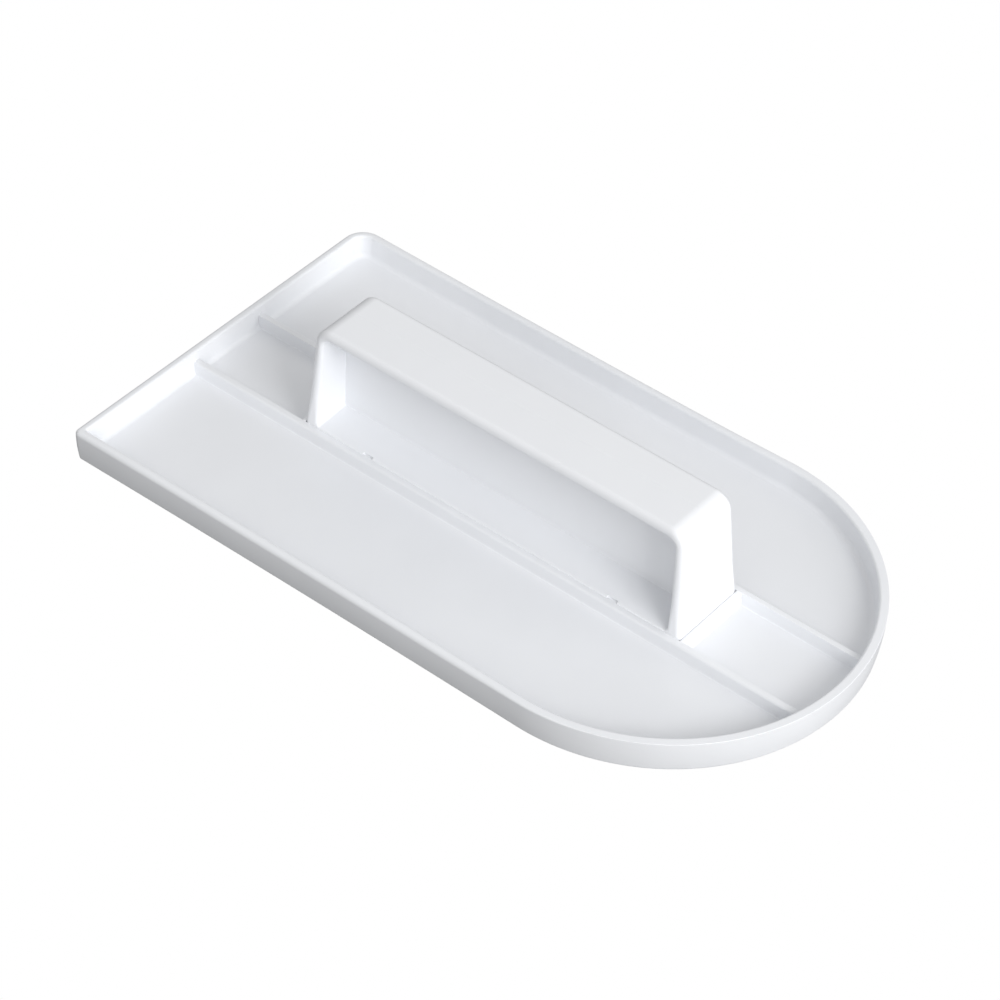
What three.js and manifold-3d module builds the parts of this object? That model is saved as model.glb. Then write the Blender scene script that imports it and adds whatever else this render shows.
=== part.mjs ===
// Icing smoother: a shallow tray with a flat smooth sole, a straight heel and a round nose,
// and a low grip that drops into a pocket between two ribs on the tray's floor. The heel has
// one tight corner, on the right, and one rounded corner, on the left.
//
// Millimetres, +Z up, +X towards the round nose, +Y to the left of someone facing the nose.
// The origin is the middle of the sole, on the surface that the tool rests on.

import * as THREE from "three";
import { mergeVertices } from "three/addons/utils/BufferGeometryUtils.js";
import Module from "manifold-3d";

const wasm = await Module();
wasm.setup();

// Clearance left between the two mouldings
const GAP = 0.3;

// Tray
const LENGTH = 150;
const WIDTH = 84;
const RIM_HEIGHT = 7.2;
const RIM_THICKNESS = 1.9;
const FLOOR_TOP = 2;
const WALL_DRAFT = 0.65;
const SIDE_BOW = 0.3;
const LEFT_HEEL_RADIUS = 4.8;
const RIGHT_HEEL_RADIUS = 1.4;
const LEAST_INNER_RADIUS = 1.5;
const SOLE_EDGE_RADIUS = 0.7;
const FLOOR_FILLET_RADIUS = 2.4;
const FLOOR_FILLET_WIDTH = 1.2;
const NOSE_X = (LENGTH - WIDTH) / 2;

// Long ribs from the heel to the nose, and short ribs that close the grip's pocket, whose
// middle is a little nearer to the heel than to the nose
const POCKET_X = -0.65;
const RIB_TOP = 5;
const RIB_ROOT = FLOOR_TOP / 2;
const RIB_OUTER_Y = 10.15;
const RIB_THICKNESS = 1.4;
const RIB_INNER_Y = RIB_OUTER_Y - RIB_THICKNESS;
const CROSS_RIB_INNER_X = 44.9;
const CROSS_RIB_THICKNESS = 1.2;

// Grip: a thin web between two end legs, with a bar on top and a flange below; its crest sits
// a little nearer to the heel than its foot does
const GRIP_TOP = 28.3;
const GRIP_BOTTOM = FLOOR_TOP + GAP;
const GRIP_FOOT_X = CROSS_RIB_INNER_X - GAP;
const GRIP_CREST_X = 43.1;
const GRIP_CREST_SHIFT = -0.5;
const GRIP_FOOT_Y = RIB_INNER_Y - GAP;
const GRIP_CREST_Y = 7.4;
const GRIP_END_ROUND = 3.6;
const GRIP_EDGE_ROUND = 1.2;
const GRIP_CORNER_ROUND = 1.5;
const WEB_THICKNESS = 1.2;
const RECESS_FOOT_X = 41.9;
const RECESS_CREST_X = 41.4;
const FLANGE_TOP = 5.6;
const BAR_BOTTOM = 26.2;
const RECESS_ROUND = 2;

// Snap nubs on the long ribs, and the notches in the flange that they click into
const SNAP_X = 29.3;
const NUB_LENGTH = 1.8;
const NUB_REACH = 0.5;
const NUB_BOTTOM = 3.6;
const NUB_TOP = 4.8;

// Facets along the curves
const NOSE_STEPS = 64;
const SIDE_STEPS = 8;
const CORNER_STEPS = 6;

const RIGHT_ANGLE = Math.PI / 2;

// Points of an arc about a centre, both ends included.
function arc(centreX, centreY, radius, startAngle, sweep, steps) {
  const points = [];
  for (let step = 0; step <= steps; step += 1) {
    const angle = startAngle + (sweep * step) / steps;
    points.push(new THREE.Vector2(
      centreX + radius * Math.cos(angle),
      centreY + radius * Math.sin(angle),
    ));
  }
  return points;
}

// Points between the ends of a long side, which bows towards the middle of the tray.
function bowedSide(startX, endX, y) {
  const points = [];
  for (let step = 1; step < SIDE_STEPS; step += 1) {
    const share = step / SIDE_STEPS;
    const bow = SIDE_BOW * 4 * share * (1 - share);
    points.push(new THREE.Vector2(startX + (endX - startX) * share, y - Math.sign(y) * bow));
  }
  return points;
}

// The tray's plan outline, moved in from its widest edge by the inset.
function trayOutline(inset) {
  const half = WIDTH / 2 - inset;
  const heelX = -LENGTH / 2 + inset;
  const leastRadius = inset > 0 ? LEAST_INNER_RADIUS : 0;
  const left = Math.max(LEFT_HEEL_RADIUS - inset, leastRadius);
  const right = Math.max(RIGHT_HEEL_RADIUS - inset, leastRadius);
  return new THREE.Shape([
    ...arc(NOSE_X, 0, half, -RIGHT_ANGLE, Math.PI, NOSE_STEPS),
    ...bowedSide(NOSE_X, heelX + left, half),
    ...arc(heelX + left, half - left, left, RIGHT_ANGLE, RIGHT_ANGLE, CORNER_STEPS),
    ...arc(heelX + right, right - half, right, Math.PI, RIGHT_ANGLE, CORNER_STEPS),
    ...bowedSide(heelX + right, NOSE_X, -half),
  ]);
}

// A rounded rectangle about the origin.
function roundedRectangle(halfX, halfY, radius) {
  const points = [];
  for (let quarter = 0; quarter < 4; quarter += 1) {
    const signX = quarter === 0 || quarter === 3 ? 1 : -1;
    const signY = quarter < 2 ? 1 : -1;
    const centreX = signX * (halfX - radius);
    const centreY = signY * (halfY - radius);
    points.push(...arc(centreX, centreY, radius, quarter * RIGHT_ANGLE, RIGHT_ANGLE, CORNER_STEPS));
  }
  return new THREE.Shape(points);
}

// A profile that is symmetric about its upright axis: square at the bottom, rounded at the top.
function taperedProfile(footHalf, crestHalf, bottom, top, radius) {
  const lean = Math.atan2(footHalf - crestHalf, top - bottom);
  const centreX = crestHalf + radius * Math.tan(lean) - radius / Math.cos(lean);
  const sweep = RIGHT_ANGLE - lean;
  return new THREE.Shape([
    new THREE.Vector2(-footHalf, bottom),
    new THREE.Vector2(footHalf, bottom),
    ...arc(centreX, top - radius, radius, lean, sweep, CORNER_STEPS),
    ...arc(-centreX, top - radius, radius, RIGHT_ANGLE, sweep, CORNER_STEPS),
  ]);
}

// A closed geometry as a solid that can be joined and cut.
function solid(geometry) {
  geometry.deleteAttribute("normal");
  geometry.deleteAttribute("uv");
  const welded = mergeVertices(geometry);
  return new wasm.Manifold(new wasm.Mesh({
    numProp: 3,
    vertProperties: Float32Array.from(welded.attributes.position.array),
    triVerts: Uint32Array.from(welded.index.array),
  }));
}

// A solid as a geometry with flat-shaded faces.
function geometryOf(body) {
  const { vertProperties, triVerts } = body.getMesh();
  const geometry = new THREE.BufferGeometry();
  geometry.setAttribute("position", new THREE.BufferAttribute(vertProperties, 3));
  geometry.setIndex(new THREE.BufferAttribute(triVerts, 1));
  geometry.computeVertexNormals();
  return geometry;
}

// A plan outline raised from one height to another.
function prism(shape, bottom, top) {
  const geometry = new THREE.ExtrudeGeometry(shape, { depth: top - bottom, bevelEnabled: false });
  return solid(geometry.translate(0, 0, bottom));
}

// A plan outline whose lower edge is drawn in by a bevel; one step makes a straight draft.
function bevelledPrism(shape, bottom, top, bevelHeight, bevelInset, steps) {
  const geometry = new THREE.ExtrudeGeometry(shape, {
    depth: top - bottom,
    bevelEnabled: true,
    bevelThickness: bevelHeight,
    bevelSize: bevelInset,
    bevelOffset: -bevelInset,
    bevelSegments: steps,
  });
  return solid(geometry.translate(0, 0, bottom + bevelHeight));
}

// A profile drawn in X and Z, extruded both ways along Y and leant as the grip's crest is.
function acrossGrip(shape, halfWidth) {
  const geometry = new THREE.ExtrudeGeometry(shape, { depth: 2 * halfWidth, bevelEnabled: false });
  const lean = GRIP_CREST_SHIFT / (GRIP_TOP - GRIP_BOTTOM);
  geometry.translate(0, 0, -halfWidth);
  geometry.rotateX(RIGHT_ANGLE);
  geometry.applyMatrix4(new THREE.Matrix4().makeShear(0, 0, 0, 0, lean, 0));
  return solid(geometry.translate(-lean * GRIP_BOTTOM, 0, 0));
}

// A profile drawn in Y and Z, extruded both ways along X.
function alongX(shape, halfLength) {
  const geometry = new THREE.ExtrudeGeometry(shape, { depth: 2 * halfLength, bevelEnabled: false });
  geometry.translate(0, 0, -halfLength);
  geometry.rotateX(RIGHT_ANGLE);
  return solid(geometry.rotateZ(RIGHT_ANGLE));
}

// A block between two opposite corners.
function block(low, high) {
  const geometry = new THREE.BoxGeometry(high[0] - low[0], high[1] - low[1], high[2] - low[2]);
  geometry.translate((low[0] + high[0]) / 2, (low[1] + high[1]) / 2, (low[2] + high[2]) / 2);
  return solid(geometry);
}

// Outside of the tray: drafted wall, rounded along the sole's edge, cut level at the rim.
function trayBlank() {
  const drafted = bevelledPrism(trayOutline(0), 0, RIM_HEIGHT + 1, RIM_HEIGHT, WALL_DRAFT, 1);
  const rounded = bevelledPrism(
    trayOutline(0), 0, RIM_HEIGHT + 1, SOLE_EDGE_RADIUS, SOLE_EDGE_RADIUS, 4,
  );
  const level = prism(trayOutline(0), 0, RIM_HEIGHT);
  return drafted.intersect(rounded).intersect(level);
}

// Inside of the tray: a fillet where the wall meets the floor, open at the top.
function trayHollow() {
  return bevelledPrism(
    trayOutline(RIM_THICKNESS), FLOOR_TOP, RIM_HEIGHT + 1, FLOOR_FILLET_RADIUS, FLOOR_FILLET_WIDTH, 4,
  );
}

// A nub on a long rib's inner face, on the given end and side.
function snapNub(endSign, sideSign) {
  const centreX = POCKET_X + endSign * SNAP_X;
  const innerY = sideSign * (RIB_INNER_Y - NUB_REACH);
  const rootY = sideSign * (RIB_INNER_Y + RIB_THICKNESS / 2);
  return block(
    [centreX - NUB_LENGTH / 2, Math.min(innerY, rootY), NUB_BOTTOM],
    [centreX + NUB_LENGTH / 2, Math.max(innerY, rootY), NUB_TOP],
  );
}

// The opening in the grip's flange that clears one nub, open at the flange's edge and top.
function snapNotch(endSign, sideSign) {
  const centreX = endSign * SNAP_X;
  const halfLength = NUB_LENGTH / 2 + GAP;
  const innerY = sideSign * (RIB_INNER_Y - NUB_REACH - GAP);
  const edgeY = sideSign * RIB_INNER_Y;
  return block(
    [centreX - halfLength, Math.min(innerY, edgeY), GRIP_BOTTOM - 1],
    [centreX + halfLength, Math.max(innerY, edgeY), FLANGE_TOP + 1],
  );
}

// The long rib, the cross rib and the snap nubs that belong to one sign of Y and X.
function ribSet(sign) {
  const longRibY = sign * (RIB_OUTER_Y - RIB_THICKNESS / 2);
  const crossRibX = POCKET_X + sign * (CROSS_RIB_INNER_X + CROSS_RIB_THICKNESS / 2);
  const longRib = block(
    [-LENGTH / 2, longRibY - RIB_THICKNESS / 2, RIB_ROOT],
    [LENGTH / 2, longRibY + RIB_THICKNESS / 2, RIB_TOP],
  );
  const crossRib = block(
    [crossRibX - CROSS_RIB_THICKNESS / 2, -RIB_INNER_Y - RIB_THICKNESS / 2, RIB_ROOT],
    [crossRibX + CROSS_RIB_THICKNESS / 2, RIB_INNER_Y + RIB_THICKNESS / 2, RIB_TOP],
  );
  return longRib.add(crossRib).add(snapNub(-1, sign)).add(snapNub(1, sign));
}

// Tray, ribs and snap nubs are one moulding.
function basePlate() {
  const outside = trayBlank();
  const ribs = ribSet(-1).add(ribSet(1)).intersect(outside);
  return outside.subtract(trayHollow()).add(ribs);
}

// One side's finger recess, which leaves the web, the legs, the bar and the flange.
function gripRecess(sideSign) {
  const profile = taperedProfile(
    RECESS_FOOT_X, RECESS_CREST_X, FLANGE_TOP, BAR_BOTTOM, RECESS_ROUND,
  );
  const reach = WIDTH / 2;
  const halfDepth = (reach - WEB_THICKNESS / 2) / 2;
  const middleY = sideSign * (WEB_THICKNESS / 2 + halfDepth);
  return acrossGrip(profile, halfDepth).translate([0, middleY, 0]);
}

// Bar, legs, web and flange are one moulding, made about the pocket's middle and moved there.
function grip() {
  const side = taperedProfile(GRIP_FOOT_X, GRIP_CREST_X, GRIP_BOTTOM, GRIP_TOP, GRIP_END_ROUND);
  const end = taperedProfile(GRIP_FOOT_Y, GRIP_CREST_Y, GRIP_BOTTOM, GRIP_TOP, GRIP_EDGE_ROUND);
  const plan = roundedRectangle(GRIP_FOOT_X, GRIP_FOOT_Y, GRIP_CORNER_ROUND);
  let body = acrossGrip(side, GRIP_FOOT_Y)
    .intersect(alongX(end, GRIP_FOOT_X))
    .intersect(prism(plan, GRIP_BOTTOM, GRIP_TOP));
  for (const sideSign of [-1, 1]) {
    body = body.subtract(gripRecess(sideSign));
    body = body.subtract(snapNotch(-1, sideSign)).subtract(snapNotch(1, sideSign));
  }
  return body.translate([POCKET_X, 0, 0]);
}

// White mouldings with a soft shine
function whitePlastic(roughness) {
  return new THREE.MeshStandardMaterial({ color: 0xf2f3f5, roughness, metalness: 0 });
}

function namedMesh(name, body, material) {
  const mesh = new THREE.Mesh(geometryOf(body), material);
  mesh.name = name;
  return mesh;
}

const smoother = new THREE.Group();
smoother.add(namedMesh("base_plate", basePlate(), whitePlastic(0.4)));
smoother.add(namedMesh("handle", grip(), whitePlastic(0.36)));

export default smoother;
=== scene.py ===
"""A white moulded icing smoother, lying on its sole on a white studio floor.

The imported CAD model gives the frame. Two finely rounded meshes stand for its two mouldings.
Sizes are in millimetres until a mesh is made; Blender's own units are metres.
"""

import math

import bmesh
import bpy
from mathutils import Matrix, Vector

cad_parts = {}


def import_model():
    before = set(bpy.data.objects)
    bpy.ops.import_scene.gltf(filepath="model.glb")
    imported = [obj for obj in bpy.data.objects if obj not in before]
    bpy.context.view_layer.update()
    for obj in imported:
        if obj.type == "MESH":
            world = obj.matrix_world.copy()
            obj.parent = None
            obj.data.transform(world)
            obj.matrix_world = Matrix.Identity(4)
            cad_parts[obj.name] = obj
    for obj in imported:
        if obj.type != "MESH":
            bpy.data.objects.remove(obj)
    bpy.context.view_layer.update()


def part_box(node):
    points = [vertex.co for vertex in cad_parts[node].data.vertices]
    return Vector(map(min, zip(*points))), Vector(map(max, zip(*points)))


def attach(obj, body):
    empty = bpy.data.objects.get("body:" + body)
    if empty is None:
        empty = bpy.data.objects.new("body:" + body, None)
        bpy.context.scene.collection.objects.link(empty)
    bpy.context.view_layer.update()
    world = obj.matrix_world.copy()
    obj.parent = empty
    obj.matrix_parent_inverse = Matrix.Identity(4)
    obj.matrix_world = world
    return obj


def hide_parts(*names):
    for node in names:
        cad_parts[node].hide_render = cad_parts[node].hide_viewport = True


MM = 0.001
QUARTER = math.pi / 2

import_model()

plate_low, plate_high = (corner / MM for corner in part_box("base_plate"))
grip_low, grip_high = (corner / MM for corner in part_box("handle"))

# Tray: a shell whose outer wall leans out towards the rim and whose long sides bow inwards
WIDTH = plate_high.y - plate_low.y
RIM_HEIGHT = plate_high.z
NOSE_X = plate_high.x - WIDTH / 2
RIM_THICKNESS = 1.9
FLOOR_TOP = 2.0
WALL_DRAFT = 0.65
WALL_LEAN = math.atan2(WALL_DRAFT, RIM_HEIGHT)
WALL_BULGE = 0.12
INNER_DRAFT = 0.15
SIDE_BOW = 0.3
LEFT_HEEL_RADIUS = 4.8
RIGHT_HEEL_RADIUS = 1.4
LEAST_HEEL_RADIUS = 0.5
SOLE_ROUND = 0.7
FLOOR_FILLET = 1.1
RIM_INNER_ROUND = 0.55

# The rim's outer edge: its rounding on the long sides and round the nose, and the length in X
# over which one becomes the other
RIM_OUTER_ROUND = 0.9
NOSE_OUTER_ROUND = 0.1
ROUND_BLEND = 30.0

# Steps in the tray's curves: the outline first, then the wall from the sole to the floor
NOSE_STEPS = 144
SIDE_STEPS = 24
HEEL_STEPS = 14
SOLE_STEPS = 8
BULGE_STEPS = 8
CROWN_STEPS = 10
LIP_STEPS = 7
FILLET_STEPS = 14

# Ribs on the tray's floor. Their feet sink into the floor and their ends into the tray's wall.
RIB_TOP = 5.0
RIB_OUTER_Y = 10.15
RIB_THICKNESS = 1.4
RIB_INNER_Y = RIB_OUTER_Y - RIB_THICKNESS
RIB_DRAFT = 0.08
RIB_SINK = 0.5
RIB_HEEL_INSET = 0.8
RIB_NOSE_INSET = 2.0
RIB_ROUND = 0.5
RIB_INNER_ROUND = 0.15
CROSS_INNER_X = 44.9
CROSS_THICKNESS = 1.2
CROSS_DROP = 0.04
CROSS_ROUND = 0.95

# The fillet at a rib's root, whose middle is a little under its radius above the floor, so that
# it dips into the floor instead of only touching it
RIB_ROOT = 0.35
RIB_ROOT_LIFT = 0.985

# Steps in the ribs' curves
RIB_ROOT_STEPS = 6
RIB_ROUND_STEPS = 8
RIB_INNER_STEPS = 4

# Grip: two mirrored sides about a thin web. Its foot is pressed a little into the pocket's walls,
# which closes the seam, and its crest sits a little towards the heel.
POCKET_X = (grip_low.x + grip_high.x) / 2
GRIP_TOP = grip_high.z
GRIP_BOTTOM = grip_low.z
PRESS = 0.2
FOOT_X = CROSS_INNER_X + PRESS
FOOT_Y = RIB_INNER_Y + PRESS
FOOT_ROUND = 0.5
CREST_X = 43.1
CREST_Y = 7.4
CREST_SHIFT = -0.5
END_ROUND = 3.6

# The recess on each side of the web, between the legs, the ledge at its foot and the bar
RECESS_FOOT_X = 41.9
RECESS_CREST_X = 41.4
RECESS_CORNER_ROUND = 2.0
RECESS_FOOT_ROUND = 0.6
WEB = 1.2
WEB_FILLET = 0.2
LEDGE = 5.6
LEDGE_ROUND = 0.3
LEDGE_FALL = 0.4
BAR_BOTTOM = 26.2

# How far the grip's outer and inner edges are rounded, at a leg's foot, middle and end and on
# the bar
LEG_MIDDLE = 12.0
LEG_END = 20.0
OUTER_ROUNDS = (1.0, 1.4, 1.2, 1.2)
INNER_ROUNDS = (0.5, 1.1, 0.9, 0.75)

# The faint sink line along the top of the bar
SINK_Y = 0.7
SINK_HALF_WIDTH = 0.32
SINK_DEPTH = 0.03

# Outline points whose normal has a Z above or below these belong to the crest or to the ledge
FACES_UP = 0.99
FACES_DOWN = -0.5

# Steps in the grip's curves
CORNER_STEPS = 16
LEG_STEPS = 28
WEB_FILLET_STEPS = 6
INNER_EDGE_STEPS = 6
OUTER_EDGE_STEPS = 8
SINK_STEPS = 3

# Snap nubs on the long ribs, and the notches in the grip's flange that they click into: how far
# a nub stands out of its rib, and how deep a notch goes into the flange
SNAP_X = 29.3
NUB_SIZE = (2.0, 1.4, 1.7)
NUB_REACH = 0.3
NUB_MIDDLE_Z = 4.15
NUB_BEVEL = 0.2
NOTCH_SIZE = (2.4, 1.0, 1.0)
NOTCH_REACH = 0.75
NOTCH_BOTTOM = 4.7
NOTCH_BEVEL = 0.25
BEVEL_SEGMENTS = 3

# Shading: edges sharper than the angle, in degrees, stay crisp, and large faces stay flat
CRISP_ANGLE = 35
FACE_WEIGHT = 100

# Camera, in millimetres and degrees: where it looks, from which side, how far away, and how much
# it is rolled. Only the clip distance is in metres.
CAMERA_TARGET = (-6.804, 3.020, 0.0)
CAMERA_AZIMUTH = 36.7625
CAMERA_ELEVATION = 42.8002
CAMERA_DISTANCE = 697.0
CAMERA_ROLL = 3.2631
CAMERA_LENS = 132.371
CAMERA_SENSOR = 36
CAMERA_CLIP_END = 20

# Plastic: the two tints, and the middle of the roughness and how far it strays
PLATE_TINT = (0.850, 0.863, 0.888)
# Both parts are one white plastic. The grip's tint is a little lighter than the plate's, and that
# lift is painted light.
GRIP_TINT_WITH_PAINTED_LIGHT = (0.869, 0.882, 0.907)
PLASTIC_IOR = 1.49
ROUGHNESS = 0.4
ROUGHNESS_SPREAD = 0.035
TINT_SPREAD = 0.008

# The plastic's patterns: sizes in cycles per metre, depths in metres
CLOUD_SCALE = 45
CLOUD_DETAIL = 3
SHEEN_SCALE = 130
SHEEN_DETAIL = 4
WAVE_SCALE = 90
WAVE_DETAIL = 1
WAVE_DEPTH = 0.00006
GRAIN_SCALE = 3200
GRAIN_DETAIL = 2
GRAIN_DEPTH = 0.000004
RAMP_START = 0.35
RAMP_END = 0.65

# Studio, in metres
STUDIO_SIZE = 3.0
TABLE_DROP = 0.0005
TABLE_SHADE = 0.2
DOME_SIZE = 2.9
DOME_STEPS = 48
AMBIENT = 0.6

# Softboxes, in metres: each has a name, an azimuth and elevation in degrees, and a power in watts
SOFTBOX_SIZE = 0.5
SOFTBOX_DISTANCE = 1.2
SOFTBOXES = (
    ("nose_right_high", -22, 35, 4.9),
    ("nose_right", -22, 22, 2.6),
    ("nose_low", -8, 3, 3.4),
    ("nose_left", 22, 22, 1.6),
    ("nose", 0, 22, 0.5),
    ("right_low", -90, 5, 0.5),
)


# ---------------------------------------------------------------- numbers and meshes

def mix(low, high, share):
    """A value between two ends, held at them for shares outside 0 to 1."""
    share = min(max(share, 0), 1)
    return low + (high - low) * share


def hump(height, share):
    """The height of a shallow arch that starts and ends at zero and is highest in its middle."""
    return height * 4 * share * (1 - share)


def arc(centre, radius, start, sweep, steps):
    """Points of an arc in a plane, both ends included."""
    points = []
    for step in range(steps + 1):
        angle = start + sweep * step / steps
        x = centre[0] + radius * math.cos(angle)
        points.append((x, centre[1] + radius * math.sin(angle)))
    return points


def new_object(name, vertices, faces):
    """A closed mesh object from points in millimetres, with its faces turned outwards."""
    mesh = bpy.data.meshes.new(name)
    mesh.from_pydata([Vector(v) * MM for v in vertices], [], faces)
    work = bmesh.new()
    work.from_mesh(mesh)
    bmesh.ops.recalc_face_normals(work, faces=work.faces)
    work.to_mesh(mesh)
    work.free()
    piece = bpy.data.objects.new(name, mesh)
    bpy.context.scene.collection.objects.link(piece)
    return piece


def loft(name, rings):
    """A skin over rings that all have the same number of points, capped at both ends."""
    count = len(rings[0])
    vertices = [point for ring in rings for point in ring]
    faces = []
    for ring in range(len(rings) - 1):
        base = ring * count
        next_base = base + count
        for point in range(count):
            after = (point + 1) % count
            faces.append((base + point, base + after, next_base + after, next_base + point))
    faces.append(tuple(range(count)))
    faces.append(tuple(range(len(vertices) - count, len(vertices))))
    return new_object(name, vertices, faces)


def rounded_block(name, centre, size, bevel):
    """A block about a centre with all its edges rounded."""
    low = [c - s / 2 for c, s in zip(centre, size)]
    corners = []
    for corner in range(8):
        corners.append([low[axis] + size[axis] * (corner >> axis & 1) for axis in range(3)])
    faces = [(0, 2, 3, 1), (4, 5, 7, 6), (0, 1, 5, 4), (2, 6, 7, 3), (0, 4, 6, 2), (1, 3, 7, 5)]
    piece = new_object(name, corners, faces)
    work = bmesh.new()
    work.from_mesh(piece.data)
    bmesh.ops.bevel(
        work,
        geom=work.edges[:],
        offset=bevel * MM,
        segments=BEVEL_SEGMENTS,
        profile=0.5,
        affect="EDGES",
    )
    work.to_mesh(piece.data)
    work.free()
    return piece


def evaluated_mesh(piece):
    """The piece's mesh with its modifiers applied."""
    bpy.context.view_layer.update()
    graph = bpy.context.evaluated_depsgraph_get()
    return bpy.data.meshes.new_from_object(piece.evaluated_get(graph))


def combine(target, operation, others):
    """Joins the other pieces to the target, or cuts them from it, and removes them."""
    for other in others:
        modifier = target.modifiers.new("combine", "BOOLEAN")
        modifier.operation = operation
        modifier.solver = "EXACT"
        modifier.object = other
    finished = evaluated_mesh(target)
    target.modifiers.clear()
    target.data = finished
    for other in others:
        bpy.data.objects.remove(other)


def smooth(piece):
    """Smooth shading that keeps large flat faces flat and sharp edges crisp."""
    piece.data.shade_smooth()
    piece.data.set_sharp_from_angle(angle=math.radians(CRISP_ANGLE))
    weighted = piece.modifiers.new("weighted", "WEIGHTED_NORMAL")
    weighted.keep_sharp = True
    weighted.weight = FACE_WEIGHT
    piece.data = evaluated_mesh(piece)
    piece.modifiers.clear()
    return piece


# ---------------------------------------------------------------- tray

def bowed_side(start_x, end_x, y):
    """Points between the ends of a long side, which bows towards the middle of the tray."""
    points = []
    for step in range(1, SIDE_STEPS):
        share = step / SIDE_STEPS
        bow = math.copysign(hump(SIDE_BOW, share), y)
        points.append((mix(start_x, end_x, share), y - bow))
    return points


def tray_outline(inset, height):
    """The tray's plan outline at a height, moved in from its widest edge by the inset."""
    half = WIDTH / 2 - inset
    heel = plate_low.x + inset
    left = max(LEFT_HEEL_RADIUS - inset, LEAST_HEEL_RADIUS)
    right = max(RIGHT_HEEL_RADIUS - inset, LEAST_HEEL_RADIUS)
    flat = arc((NOSE_X, 0), half, -QUARTER, math.pi, NOSE_STEPS)
    flat += bowed_side(NOSE_X, heel + left, half)
    flat += arc((heel + left, half - left), left, QUARTER, QUARTER, HEEL_STEPS)
    flat += arc((heel + right, right - half), right, math.pi, QUARTER, HEEL_STEPS)
    flat += bowed_side(heel + right, NOSE_X, -half)
    return [(x, y, height) for x, y in flat]


def wall_inset(height):
    """How far the outer wall stands in from the rim's edge at a height."""
    return WALL_DRAFT * (1 - height / RIM_HEIGHT)


def bulge(low, high):
    """Points between the ends of the outer wall, which swells a little at mid height."""
    points = []
    for step in range(1, BULGE_STEPS):
        share = step / BULGE_STEPS
        inset = mix(low[0], high[0], share) - hump(WALL_BULGE, share)
        points.append((inset, mix(low[1], high[1], share)))
    return points


def tray_section(outer_round):
    """The tray's wall as inset and height, from the sole round the rim to the floor."""
    sole_centre = (wall_inset(SOLE_ROUND) + SOLE_ROUND / math.cos(WALL_LEAN), SOLE_ROUND)
    rim_z = RIM_HEIGHT - outer_round
    rim_centre = (wall_inset(rim_z) + outer_round / math.cos(WALL_LEAN), rim_z)
    lip_centre = (RIM_THICKNESS - RIM_INNER_ROUND, RIM_HEIGHT - RIM_INNER_ROUND)
    fillet_centre = (RIM_THICKNESS + INNER_DRAFT + FLOOR_FILLET, FLOOR_TOP + FLOOR_FILLET)
    section = arc(sole_centre, SOLE_ROUND, -QUARTER, WALL_LEAN - QUARTER, SOLE_STEPS)
    crown = arc(rim_centre, outer_round, math.pi + WALL_LEAN, -QUARTER - WALL_LEAN, CROWN_STEPS)
    section += bulge(section[-1], crown[0]) + crown
    section += arc(lip_centre, RIM_INNER_ROUND, QUARTER, -QUARTER, LIP_STEPS)
    section += arc(fillet_centre, FLOOR_FILLET, math.pi, QUARTER, FILLET_STEPS)
    return section


def tray():
    """The tray's skin, with the rim's outer edge soft on the sides and crisp round the nose."""
    side_section = tray_section(RIM_OUTER_ROUND)
    nose_section = tray_section(NOSE_OUTER_ROUND)
    rings = []
    for side_point, nose_point in zip(side_section, nose_section):
        ring = []
        for side, nose in zip(tray_outline(*side_point), tray_outline(*nose_point)):
            share = (side[0] - NOSE_X) / ROUND_BLEND + 0.5
            ring.append([mix(a, b, share) for a, b in zip(side, nose)])
        rings.append(ring)
    return loft("tray", rings)


def rib_profile(half, top, edge):
    """A rib's cross-section, as distance outwards from its middle and height.

    Its top is rounded on the outside and crisp on the inside, and its foot flares into the floor.
    """
    root_x = half + RIB_DRAFT + RIB_ROOT
    root_centre = (root_x, FLOOR_TOP + RIB_ROOT * RIB_ROOT_LIFT)
    flare = arc(root_centre, RIB_ROOT, -QUARTER, -QUARTER, RIB_ROOT_STEPS)
    crown = arc((half - edge, top - edge), edge, 0, QUARTER, RIB_ROUND_STEPS)
    inner_centre = (RIB_INNER_ROUND - half, top - RIB_INNER_ROUND)
    crown += arc(inner_centre, RIB_INNER_ROUND, QUARTER, QUARTER, RIB_INNER_STEPS)
    outside = [(root_x, FLOOR_TOP - RIB_SINK)] + flare
    inside = [(-x, z) for x, z in reversed(outside)]
    return outside + crown + inside


def long_rib(side):
    """A rib from the heel to the nose."""
    middle = side * (RIB_OUTER_Y - RIB_THICKNESS / 2)
    profile = rib_profile(RIB_THICKNESS / 2, RIB_TOP, RIB_ROUND)
    ends = (plate_low.x + RIB_HEEL_INSET, plate_high.x - RIB_NOSE_INSET)
    return loft("long_rib", [[(x, middle + side * out, z) for out, z in profile] for x in ends])


def cross_rib(end):
    """A rib that closes one end of the grip's pocket."""
    middle = POCKET_X + end * (CROSS_INNER_X + CROSS_THICKNESS / 2)
    profile = rib_profile(CROSS_THICKNESS / 2, RIB_TOP - CROSS_DROP, CROSS_ROUND)
    reach = RIB_INNER_Y + RIB_THICKNESS / 2
    ends = (-reach, reach)
    return loft("cross_rib", [[(middle + end * out, y, z) for out, z in profile] for y in ends])


def snap_places():
    """The side, as a sign, and the middle in X of each of the four snaps."""
    return [(side, POCKET_X + end * SNAP_X) for end in (-1, 1) for side in (-1, 1)]


def base_plate():
    """The tray with its ribs and snap nubs, as one moulding."""
    plate = tray()
    additions = [long_rib(-1), long_rib(1), cross_rib(-1), cross_rib(1)]
    for side, x in snap_places():
        nub_y = side * (RIB_INNER_Y - NUB_REACH + NUB_SIZE[1] / 2)
        additions.append(rounded_block("nub", (x, nub_y, NUB_MIDDLE_Z), NUB_SIZE, NUB_BEVEL))
    combine(plate, "UNION", additions)
    plate.name = "smoother_plate"
    return smooth(plate)


# ---------------------------------------------------------------- grip

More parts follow.
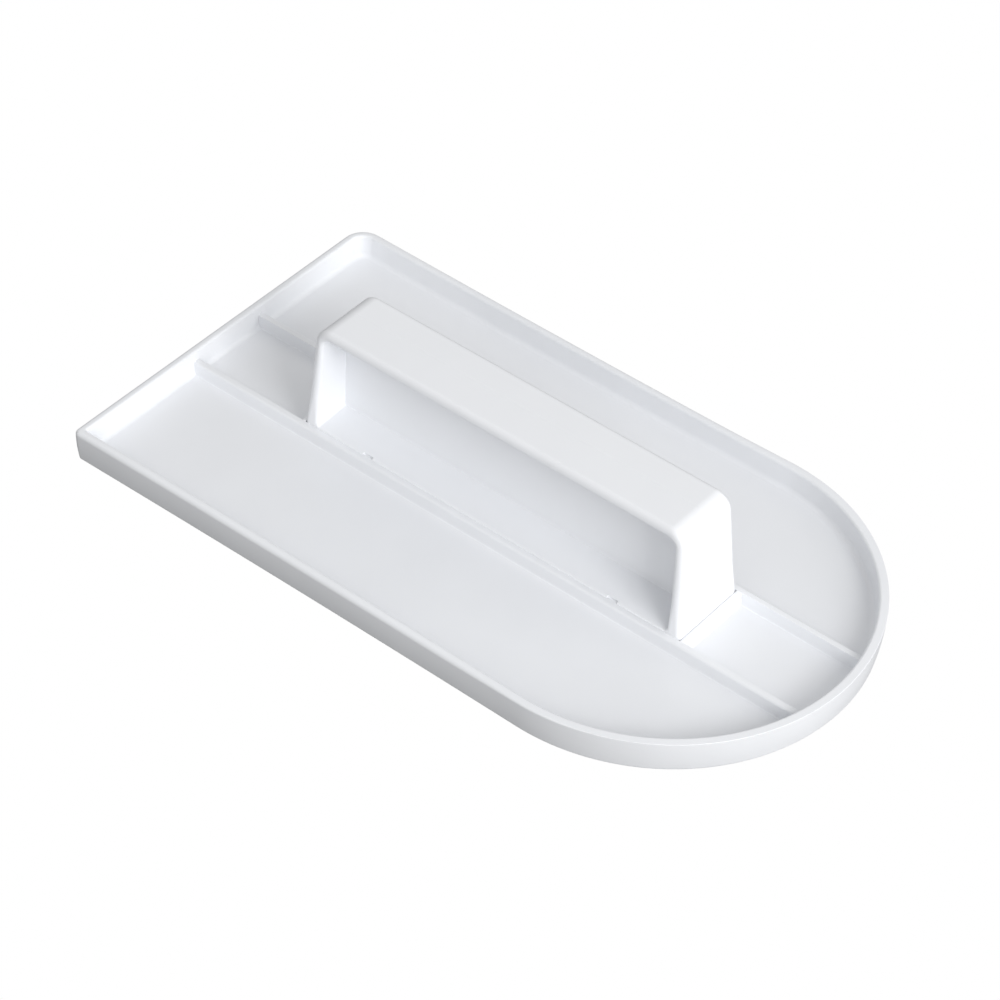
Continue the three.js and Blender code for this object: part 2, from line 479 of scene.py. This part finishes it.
def straight(start, end):
    """Points between the ends of a straight side, with the normal that the ends share."""
    points = []
    for step in range(1, LEG_STEPS):
        share = step / LEG_STEPS
        points.append((mix(start[0], end[0], share), mix(start[1], end[1], share), start[2]))
    return points


def trapezoid_loop(foot_half, crest_half, bottom, top, foot_round, top_round):
    """A symmetric trapezoid in X and Z with rounded corners, as points with outward normals.

    The loop runs anticlockwise from the right foot, with the same count for every size.
    """
    lean = math.atan2(foot_half - crest_half, top - bottom)
    top_x = crest_half + top_round * math.tan(lean) - top_round / math.cos(lean)
    foot_x = foot_half - foot_round * math.tan(lean) - foot_round / math.cos(lean)
    corners = []
    for centre, radius, start, sweep in (
        ((foot_x, bottom + foot_round), foot_round, -QUARTER, QUARTER + lean),
        ((top_x, top - top_round), top_round, lean, QUARTER - lean),
        ((-top_x, top - top_round), top_round, QUARTER, QUARTER - lean),
        ((-foot_x, bottom + foot_round), foot_round, math.pi - lean, QUARTER + lean),
    ):
        corner = []
        for step in range(CORNER_STEPS + 1):
            angle = start + sweep * step / CORNER_STEPS
            normal = (math.cos(angle), math.sin(angle))
            x = centre[0] + radius * normal[0]
            corner.append((x, centre[1] + radius * normal[1], normal))
        corners.append(corner)
    right_foot, right_top, left_top, left_foot = corners
    right_side = straight(right_foot[-1], right_top[0])
    left_side = straight(left_top[-1], left_foot[0])
    return right_foot + right_side + right_top + left_top + left_side + left_foot


def rise(height):
    """How far up the grip a height lies, from 0 at its foot to 1 at its crest."""
    return (height - GRIP_BOTTOM) / (GRIP_TOP - GRIP_BOTTOM)


def half_depth(height):
    """Half the grip's depth at a height: it tapers towards its crest."""
    return FOOT_Y + (CREST_Y - FOOT_Y) * rise(height)


def middle_x(height):
    """The grip's middle in X at a height: its crest sits a little towards the heel."""
    return POCKET_X + CREST_SHIFT * rise(height)


def edge_radius(height, radii):
    """How far an edge is rounded at a height, from its foot, middle, end and bar roundings."""
    foot, middle, end, bar = radii
    if height < LEG_MIDDLE:
        return mix(foot, middle, (height - RIB_TOP) / (LEG_MIDDLE - RIB_TOP))
    if height < LEG_END:
        return mix(middle, end, (height - LEG_MIDDLE) / (LEG_END - LEG_MIDDLE))
    return mix(end, bar, (height - LEG_END) / (BAR_BOTTOM - RECESS_CORNER_ROUND - LEG_END))


def outer_loop():
    """The grip's outline from the side."""
    return trapezoid_loop(FOOT_X, CREST_X, GRIP_BOTTOM, GRIP_TOP, FOOT_ROUND, END_ROUND)


def grip_rings(sign):
    """Rings from the web out over the recess's edge and to the grip's outer edge on one side."""
    outer = outer_loop()
    recess = trapezoid_loop(
        RECESS_FOOT_X, RECESS_CREST_X, LEDGE, BAR_BOTTOM, RECESS_FOOT_ROUND, RECESS_CORNER_ROUND,
    )
    rings = []
    for step in range(WEB_FILLET_STEPS + 1):
        angle = QUARTER * step / WEB_FILLET_STEPS
        inset = WEB_FILLET * (1 - math.sin(angle))
        depth = WEB / 2 + WEB_FILLET * (1 - math.cos(angle))
        rings.append([(x - n[0] * inset, sign * depth, z - n[1] * inset) for x, z, n in recess])
    for step in range(INNER_EDGE_STEPS + 1):
        angle = QUARTER * step / INNER_EDGE_STEPS
        ring = []
        for x, z, n in recess:
            radius = LEDGE_ROUND if n[1] < FACES_DOWN else edge_radius(z, INNER_ROUNDS)
            out = radius * (1 - math.cos(angle))
            height = z + n[1] * out - LEDGE_FALL * max(0, -n[1])
            y = half_depth(height) - radius * (1 - math.sin(angle))
            ring.append((x + n[0] * out, sign * y, height))
        rings.append(ring)
    for step in range(OUTER_EDGE_STEPS + 1):
        angle = QUARTER * step / OUTER_EDGE_STEPS
        ring = []
        for x, z, n in outer:
            radius = edge_radius(z, OUTER_ROUNDS)
            inset = radius * (1 - math.sin(angle))
            height = z - n[1] * inset
            y = half_depth(height) - radius * (1 - math.cos(angle))
            ring.append((x - n[0] * inset, sign * y, height))
        rings.append(ring)
    return rings


def sink_rings():
    """Rings across the top of the bar, for the faint sink line over the web."""
    outer = outer_loop()
    rings = []
    for step in range(-SINK_STEPS, SINK_STEPS + 1):
        share = step / SINK_STEPS
        depth = SINK_DEPTH * (1 + math.cos(math.pi * share)) / 2
        y = SINK_Y + SINK_HALF_WIDTH * share
        rings.append([(x, y, z - depth if n[1] > FACES_UP else z) for x, z, n in outer])
    return rings


def grip():
    """The grip with its four snap notches, as one moulding."""
    rings = grip_rings(-1) + sink_rings() + list(reversed(grip_rings(1)))
    body = loft("smoother_grip", [[(x + middle_x(z), y, z) for x, y, z in ring] for ring in rings])
    notches = []
    for side, x in snap_places():
        notch_y = side * (FOOT_Y - NOTCH_REACH + NOTCH_SIZE[1] / 2)
        notch_z = NOTCH_BOTTOM + NOTCH_SIZE[2] / 2
        notches.append(rounded_block("notch", (x, notch_y, notch_z), NOTCH_SIZE, NOTCH_BEVEL))
    combine(body, "DIFFERENCE", notches)
    return smooth(body)


# ---------------------------------------------------------------- materials

def noise(nodes, links, scale, detail, offset):
    """A noise pattern fixed to the object, in cycles per metre, moved by an offset of its own."""
    place = nodes.new("ShaderNodeTexCoord")
    shift = nodes.new("ShaderNodeMapping")
    shift.inputs["Location"].default_value = (offset, 2 * offset, 3 * offset)
    pattern = nodes.new("ShaderNodeTexNoise")
    pattern.inputs["Scale"].default_value = scale
    pattern.inputs["Detail"].default_value = detail
    links.new(place.outputs["Object"], shift.inputs["Vector"])
    links.new(shift.outputs["Vector"], pattern.inputs["Vector"])
    return pattern.outputs["Fac"]


def ramp(nodes, links, pattern, low, high):
    """Turns a noise pattern into a value or colour between two ends, over its middle range."""
    node = nodes.new("ShaderNodeValToRGB")
    node.color_ramp.elements[0].position = RAMP_START
    node.color_ramp.elements[1].position = RAMP_END
    node.color_ramp.elements[0].color = (*low, 1)
    node.color_ramp.elements[1].color = (*high, 1)
    links.new(pattern, node.inputs["Fac"])
    return node.outputs["Color"]


def bump(nodes, links, pattern, depth, under=None):
    """A relief of a depth in metres, laid over another one where there is one."""
    node = nodes.new("ShaderNodeBump")
    node.inputs["Strength"].default_value = 1.0
    node.inputs["Distance"].default_value = depth
    links.new(pattern, node.inputs["Height"])
    if under is not None:
        links.new(under, node.inputs["Normal"])
    return node.outputs["Normal"]


def plastic(name, tint, offset):
    """White moulded plastic: a satin, faintly cloudy skin with flow waves and a fine grain."""
    material = bpy.data.materials.new(name)
    material.use_nodes = True
    nodes = material.node_tree.nodes
    links = material.node_tree.links
    shader = nodes["Principled BSDF"]
    shader.inputs["IOR"].default_value = PLASTIC_IOR
    cloud = noise(nodes, links, CLOUD_SCALE, CLOUD_DETAIL, offset)
    dark = tuple(channel - TINT_SPREAD for channel in tint)
    light = tuple(channel + TINT_SPREAD for channel in tint)
    links.new(ramp(nodes, links, cloud, dark, light), shader.inputs["Base Color"])
    sheen = noise(nodes, links, SHEEN_SCALE, SHEEN_DETAIL, offset + 1)
    smoothest = (ROUGHNESS - ROUGHNESS_SPREAD,) * 3
    roughest = (ROUGHNESS + ROUGHNESS_SPREAD,) * 3
    links.new(ramp(nodes, links, sheen, smoothest, roughest), shader.inputs["Roughness"])
    waves = noise(nodes, links, WAVE_SCALE, WAVE_DETAIL, offset + 2)
    relief = bump(nodes, links, waves, WAVE_DEPTH)
    grain = noise(nodes, links, GRAIN_SCALE, GRAIN_DETAIL, offset + 3)
    relief = bump(nodes, links, grain, GRAIN_DEPTH, relief)
    links.new(relief, shader.inputs["Normal"])
    return material


def plain(name, colour, glow):
    """A flat finish for the studio: it only gives off light, or only scatters it."""
    material = bpy.data.materials.new(name)
    material.use_nodes = True
    shader = material.node_tree.nodes["Principled BSDF"]
    shader.inputs["Base Color"].default_value = (*colour, 1)
    shader.inputs["Roughness"].default_value = 1
    shader.inputs["Specular IOR Level"].default_value = 0
    shader.inputs["Emission Color"].default_value = (1, 1, 1, 1)
    shader.inputs["Emission Strength"].default_value = glow
    material.cycles.emission_sampling = "NONE"
    return material


# ---------------------------------------------------------------- studio

def stage_piece(name, vertices, faces, material):
    """A piece of the studio, in metres, which isn't part of the object."""
    mesh = bpy.data.meshes.new(name)
    mesh.from_pydata(vertices, [], faces)
    mesh.materials.append(material)
    piece = bpy.data.objects.new(name, mesh)
    bpy.context.scene.collection.objects.link(piece)
    return piece


def square(size, height):
    """The corners and the one face of a level square."""
    plan = [(-size, -size), (size, -size), (size, size), (-size, size)]
    return [(x, y, height) for x, y in plan], [(0, 1, 2, 3)]


def seen_only(piece):
    """The camera sees the piece, but it neither lights the object nor shades it."""
    piece.visible_diffuse = False
    piece.visible_glossy = False
    piece.visible_transmission = False
    piece.visible_shadow = False


def floor():
    """A white floor that the camera sees, over a grey table that only gives back some light."""
    corners, faces = square(STUDIO_SIZE, 0)
    seen_only(stage_piece("floor", corners, faces, plain("floor_white", (0, 0, 0), 1)))
    corners, faces = square(STUDIO_SIZE, -TABLE_DROP)
    table = stage_piece("table", corners, faces, plain("table_grey", (TABLE_SHADE,) * 3, 0))
    table.visible_camera = False


def backdrop():
    """A white dome that the camera sees behind the floor's edge."""
    vertices = []
    faces = []
    rows = DOME_STEPS // 4
    for row in range(rows + 1):
        rise_angle = QUARTER * row / rows
        ring = arc((0, 0), DOME_SIZE * math.cos(rise_angle), 0, 4 * QUARTER, DOME_STEPS)[:-1]
        vertices += [(x, y, DOME_SIZE * math.sin(rise_angle)) for x, y in ring]
    for row in range(rows):
        for step in range(DOME_STEPS):
            after = (step + 1) % DOME_STEPS
            base = row * DOME_STEPS
            top = base + DOME_STEPS
            faces.append((base + step, base + after, top + after, top + step))
    seen_only(stage_piece("backdrop", vertices, faces, plain("backdrop_white", (0, 0, 0), 1)))


def softbox(name, azimuth, elevation, power):
    """A square area light that faces the object from a direction."""
    data = bpy.data.lights.new(name, "AREA")
    data.shape = "SQUARE"
    data.size = SOFTBOX_SIZE
    data.energy = power
    light = bpy.data.objects.new(name, data)
    turn = math.radians(azimuth)
    tilt = math.radians(elevation)
    offset = Vector((
        math.cos(tilt) * math.cos(turn),
        math.cos(tilt) * math.sin(turn),
        math.sin(tilt),
    ))
    light.location = offset * SOFTBOX_DISTANCE
    light.rotation_euler = offset.to_track_quat("Z", "Y").to_euler()
    light.visible_camera = False
    bpy.context.scene.collection.objects.link(light)


def world():
    """An even white light from all round, under the softboxes."""
    scene = bpy.context.scene
    scene.world = bpy.data.worlds.new("studio")
    scene.world.use_nodes = True
    background = scene.world.node_tree.nodes["Background"]
    background.inputs["Color"].default_value = (1, 1, 1, 1)
    background.inputs["Strength"].default_value = AMBIENT


def camera():
    """The camera, which looks down on the object from the right of its nose."""
    azimuth = math.radians(CAMERA_AZIMUTH)
    elevation = math.radians(CAMERA_ELEVATION)
    back = Vector((
        math.cos(elevation) * math.sin(azimuth),
        -math.cos(elevation) * math.cos(azimuth),
        math.sin(elevation),
    ))
    data = bpy.data.cameras.new("camera")
    data.lens = CAMERA_LENS
    data.sensor_width = CAMERA_SENSOR
    data.clip_end = CAMERA_CLIP_END
    piece = bpy.data.objects.new("camera", data)
    piece.location = (Vector(CAMERA_TARGET) + back * CAMERA_DISTANCE) * MM
    look = back.to_track_quat("Z", "Y").to_matrix()
    roll = Matrix.Rotation(math.radians(CAMERA_ROLL), 3, "Z")
    piece.rotation_euler = (look @ roll).to_euler()
    bpy.context.scene.collection.objects.link(piece)
    bpy.context.scene.camera = piece


plate = base_plate()
handle = grip()
plate.data.materials.append(plastic("plate_plastic", PLATE_TINT, offset=0.0))
# The grip's lighter tint paints in light on the grip.
handle.data.materials.append(plastic("grip_plastic", GRIP_TINT_WITH_PAINTED_LIGHT, offset=7.0))
for piece, node, slot in (
    (plate, "base_plate", "plate_plastic"),
    (handle, "handle", "grip_plastic"),
):
    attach(piece, "root")
    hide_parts(node)

camera()
floor()
backdrop()
world()
for name, azimuth, elevation, power in SOFTBOXES:
    softbox(name, azimuth, elevation, power)
bpy.context.scene.view_settings.view_transform = "Standard"
